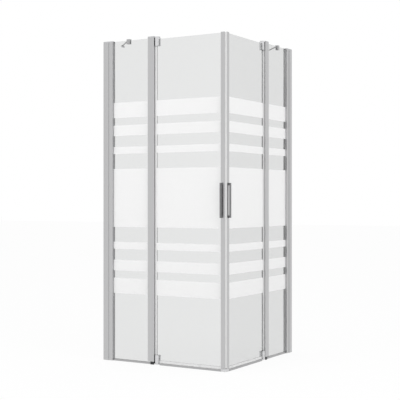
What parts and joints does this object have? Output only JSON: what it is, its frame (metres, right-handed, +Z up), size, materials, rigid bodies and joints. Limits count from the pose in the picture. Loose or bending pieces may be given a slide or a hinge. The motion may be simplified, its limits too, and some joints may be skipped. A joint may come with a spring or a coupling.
{
  "type": "double swing shower door",
  "caption": "Corner shower enclosure whose glass swing doors meet at the corner between fixed side panes, with wall profiles, pivot hinges and support bars.",
  "frame": {"origin": "centre of the footprint at floor level", "axes": "+Z up; the entry corner points to +X -Y; the right wing runs along +Y to its wall and the left wing along -X to its wall"},
  "size_m": [0.876, 0.876, 1.955],
  "materials": {
    "satin_aluminium": "satin bright anodised extrusion",
    "polished_chrome": "polished chrome plate on zinc and steel",
    "stainless_steel": "plain stainless steel",
    "grey_plastic": "moulded light grey plastic",
    "black_plastic": "moulded black plastic",
    "nylon": "natural white nylon",
    "clear_glass": "clear toughened glass with printed frosted bands",
    "clear_seal": "clear flexible vinyl",
    "magnet_vinyl": "pale vinyl magnet carrier",
    "grey_rubber": "grey rubber glazing strip"
  },
  "bodies": {
    "enclosure_frame": {"left_wall_channel": "satin_aluminium", "left_adjusting_profile": "satin_aluminium", "left_fixed_glass": "clear_glass", "left_fixed_sill": "satin_aluminium", "left_hinge_post": "satin_aluminium", "left_top_hinge_arm": "polished_chrome", "left_bottom_hinge_arm": "polished_chrome", "left_post_foot": "black_plastic", "left_support_clamp": "polished_chrome", "left_support_bar": "polished_chrome", "left_threshold": "satin_aluminium", "right_wall_channel": "satin_aluminium", "right_adjusting_profile": "satin_aluminium", "right_fixed_glass": "clear_glass", "right_fixed_sill": "satin_aluminium", "right_hinge_post": "satin_aluminium", "right_top_hinge_arm": "polished_chrome", "right_bottom_hinge_arm": "polished_chrome", "right_post_foot": "black_plastic", "right_support_clamp": "polished_chrome", "right_support_bar": "polished_chrome", "right_threshold": "satin_aluminium", "wall_profile_caps": "grey_plastic", "profile_lock_screws": "stainless_steel", "glazing_gaskets": "grey_rubber", "arm_screws": "stainless_steel", "hinge_pins": "stainless_steel", "post_caps": "grey_plastic", "support_flanges": "polished_chrome", "support_screws": "stainless_steel", "threshold_corner": "grey_plastic"},
    "left_door": {"left_top_clamp_outer": "polished_chrome", "left_top_clamp_inner": "polished_chrome", "left_bottom_clamp_outer": "polished_chrome", "left_bottom_clamp_inner": "polished_chrome", "left_hinge_bushes": "nylon", "left_clamp_pads": "clear_seal", "left_door_glass": "clear_glass", "left_door_hinge_seal": "clear_seal", "left_door_drip_seal": "clear_seal", "left_door_edge_profile": "satin_aluminium", "left_edge_profile_caps": "grey_plastic", "left_magnet_strip": "magnet_vinyl", "left_handle": "polished_chrome", "left_door_screws": "stainless_steel"},
    "right_door": {"right_top_clamp_outer": "polished_chrome", "right_top_clamp_inner": "polished_chrome", "right_bottom_clamp_outer": "polished_chrome", "right_bottom_clamp_inner": "polished_chrome", "right_hinge_bushes": "nylon", "right_clamp_pads": "clear_seal", "right_door_glass": "clear_glass", "right_door_hinge_seal": "clear_seal", "right_door_drip_seal": "clear_seal", "right_door_edge_profile": "satin_aluminium", "right_edge_profile_caps": "grey_plastic", "right_magnet_strip": "magnet_vinyl", "right_handle": "polished_chrome", "right_door_screws": "stainless_steel"}
  },
  "joints": [
    {"name": "left_door_swing", "type": "hinge", "parent": "enclosure_frame", "child": "left_door", "pos_m": [-0.0494, -0.409, 0], "axis": [0, 0, -1], "range_deg": [0, 100]},
    {"name": "right_door_swing", "type": "hinge", "parent": "enclosure_frame", "child": "right_door", "pos_m": [0.409, 0.0494, 0], "axis": [0, 0, 1], "range_deg": [0, 100]}
  ]
}
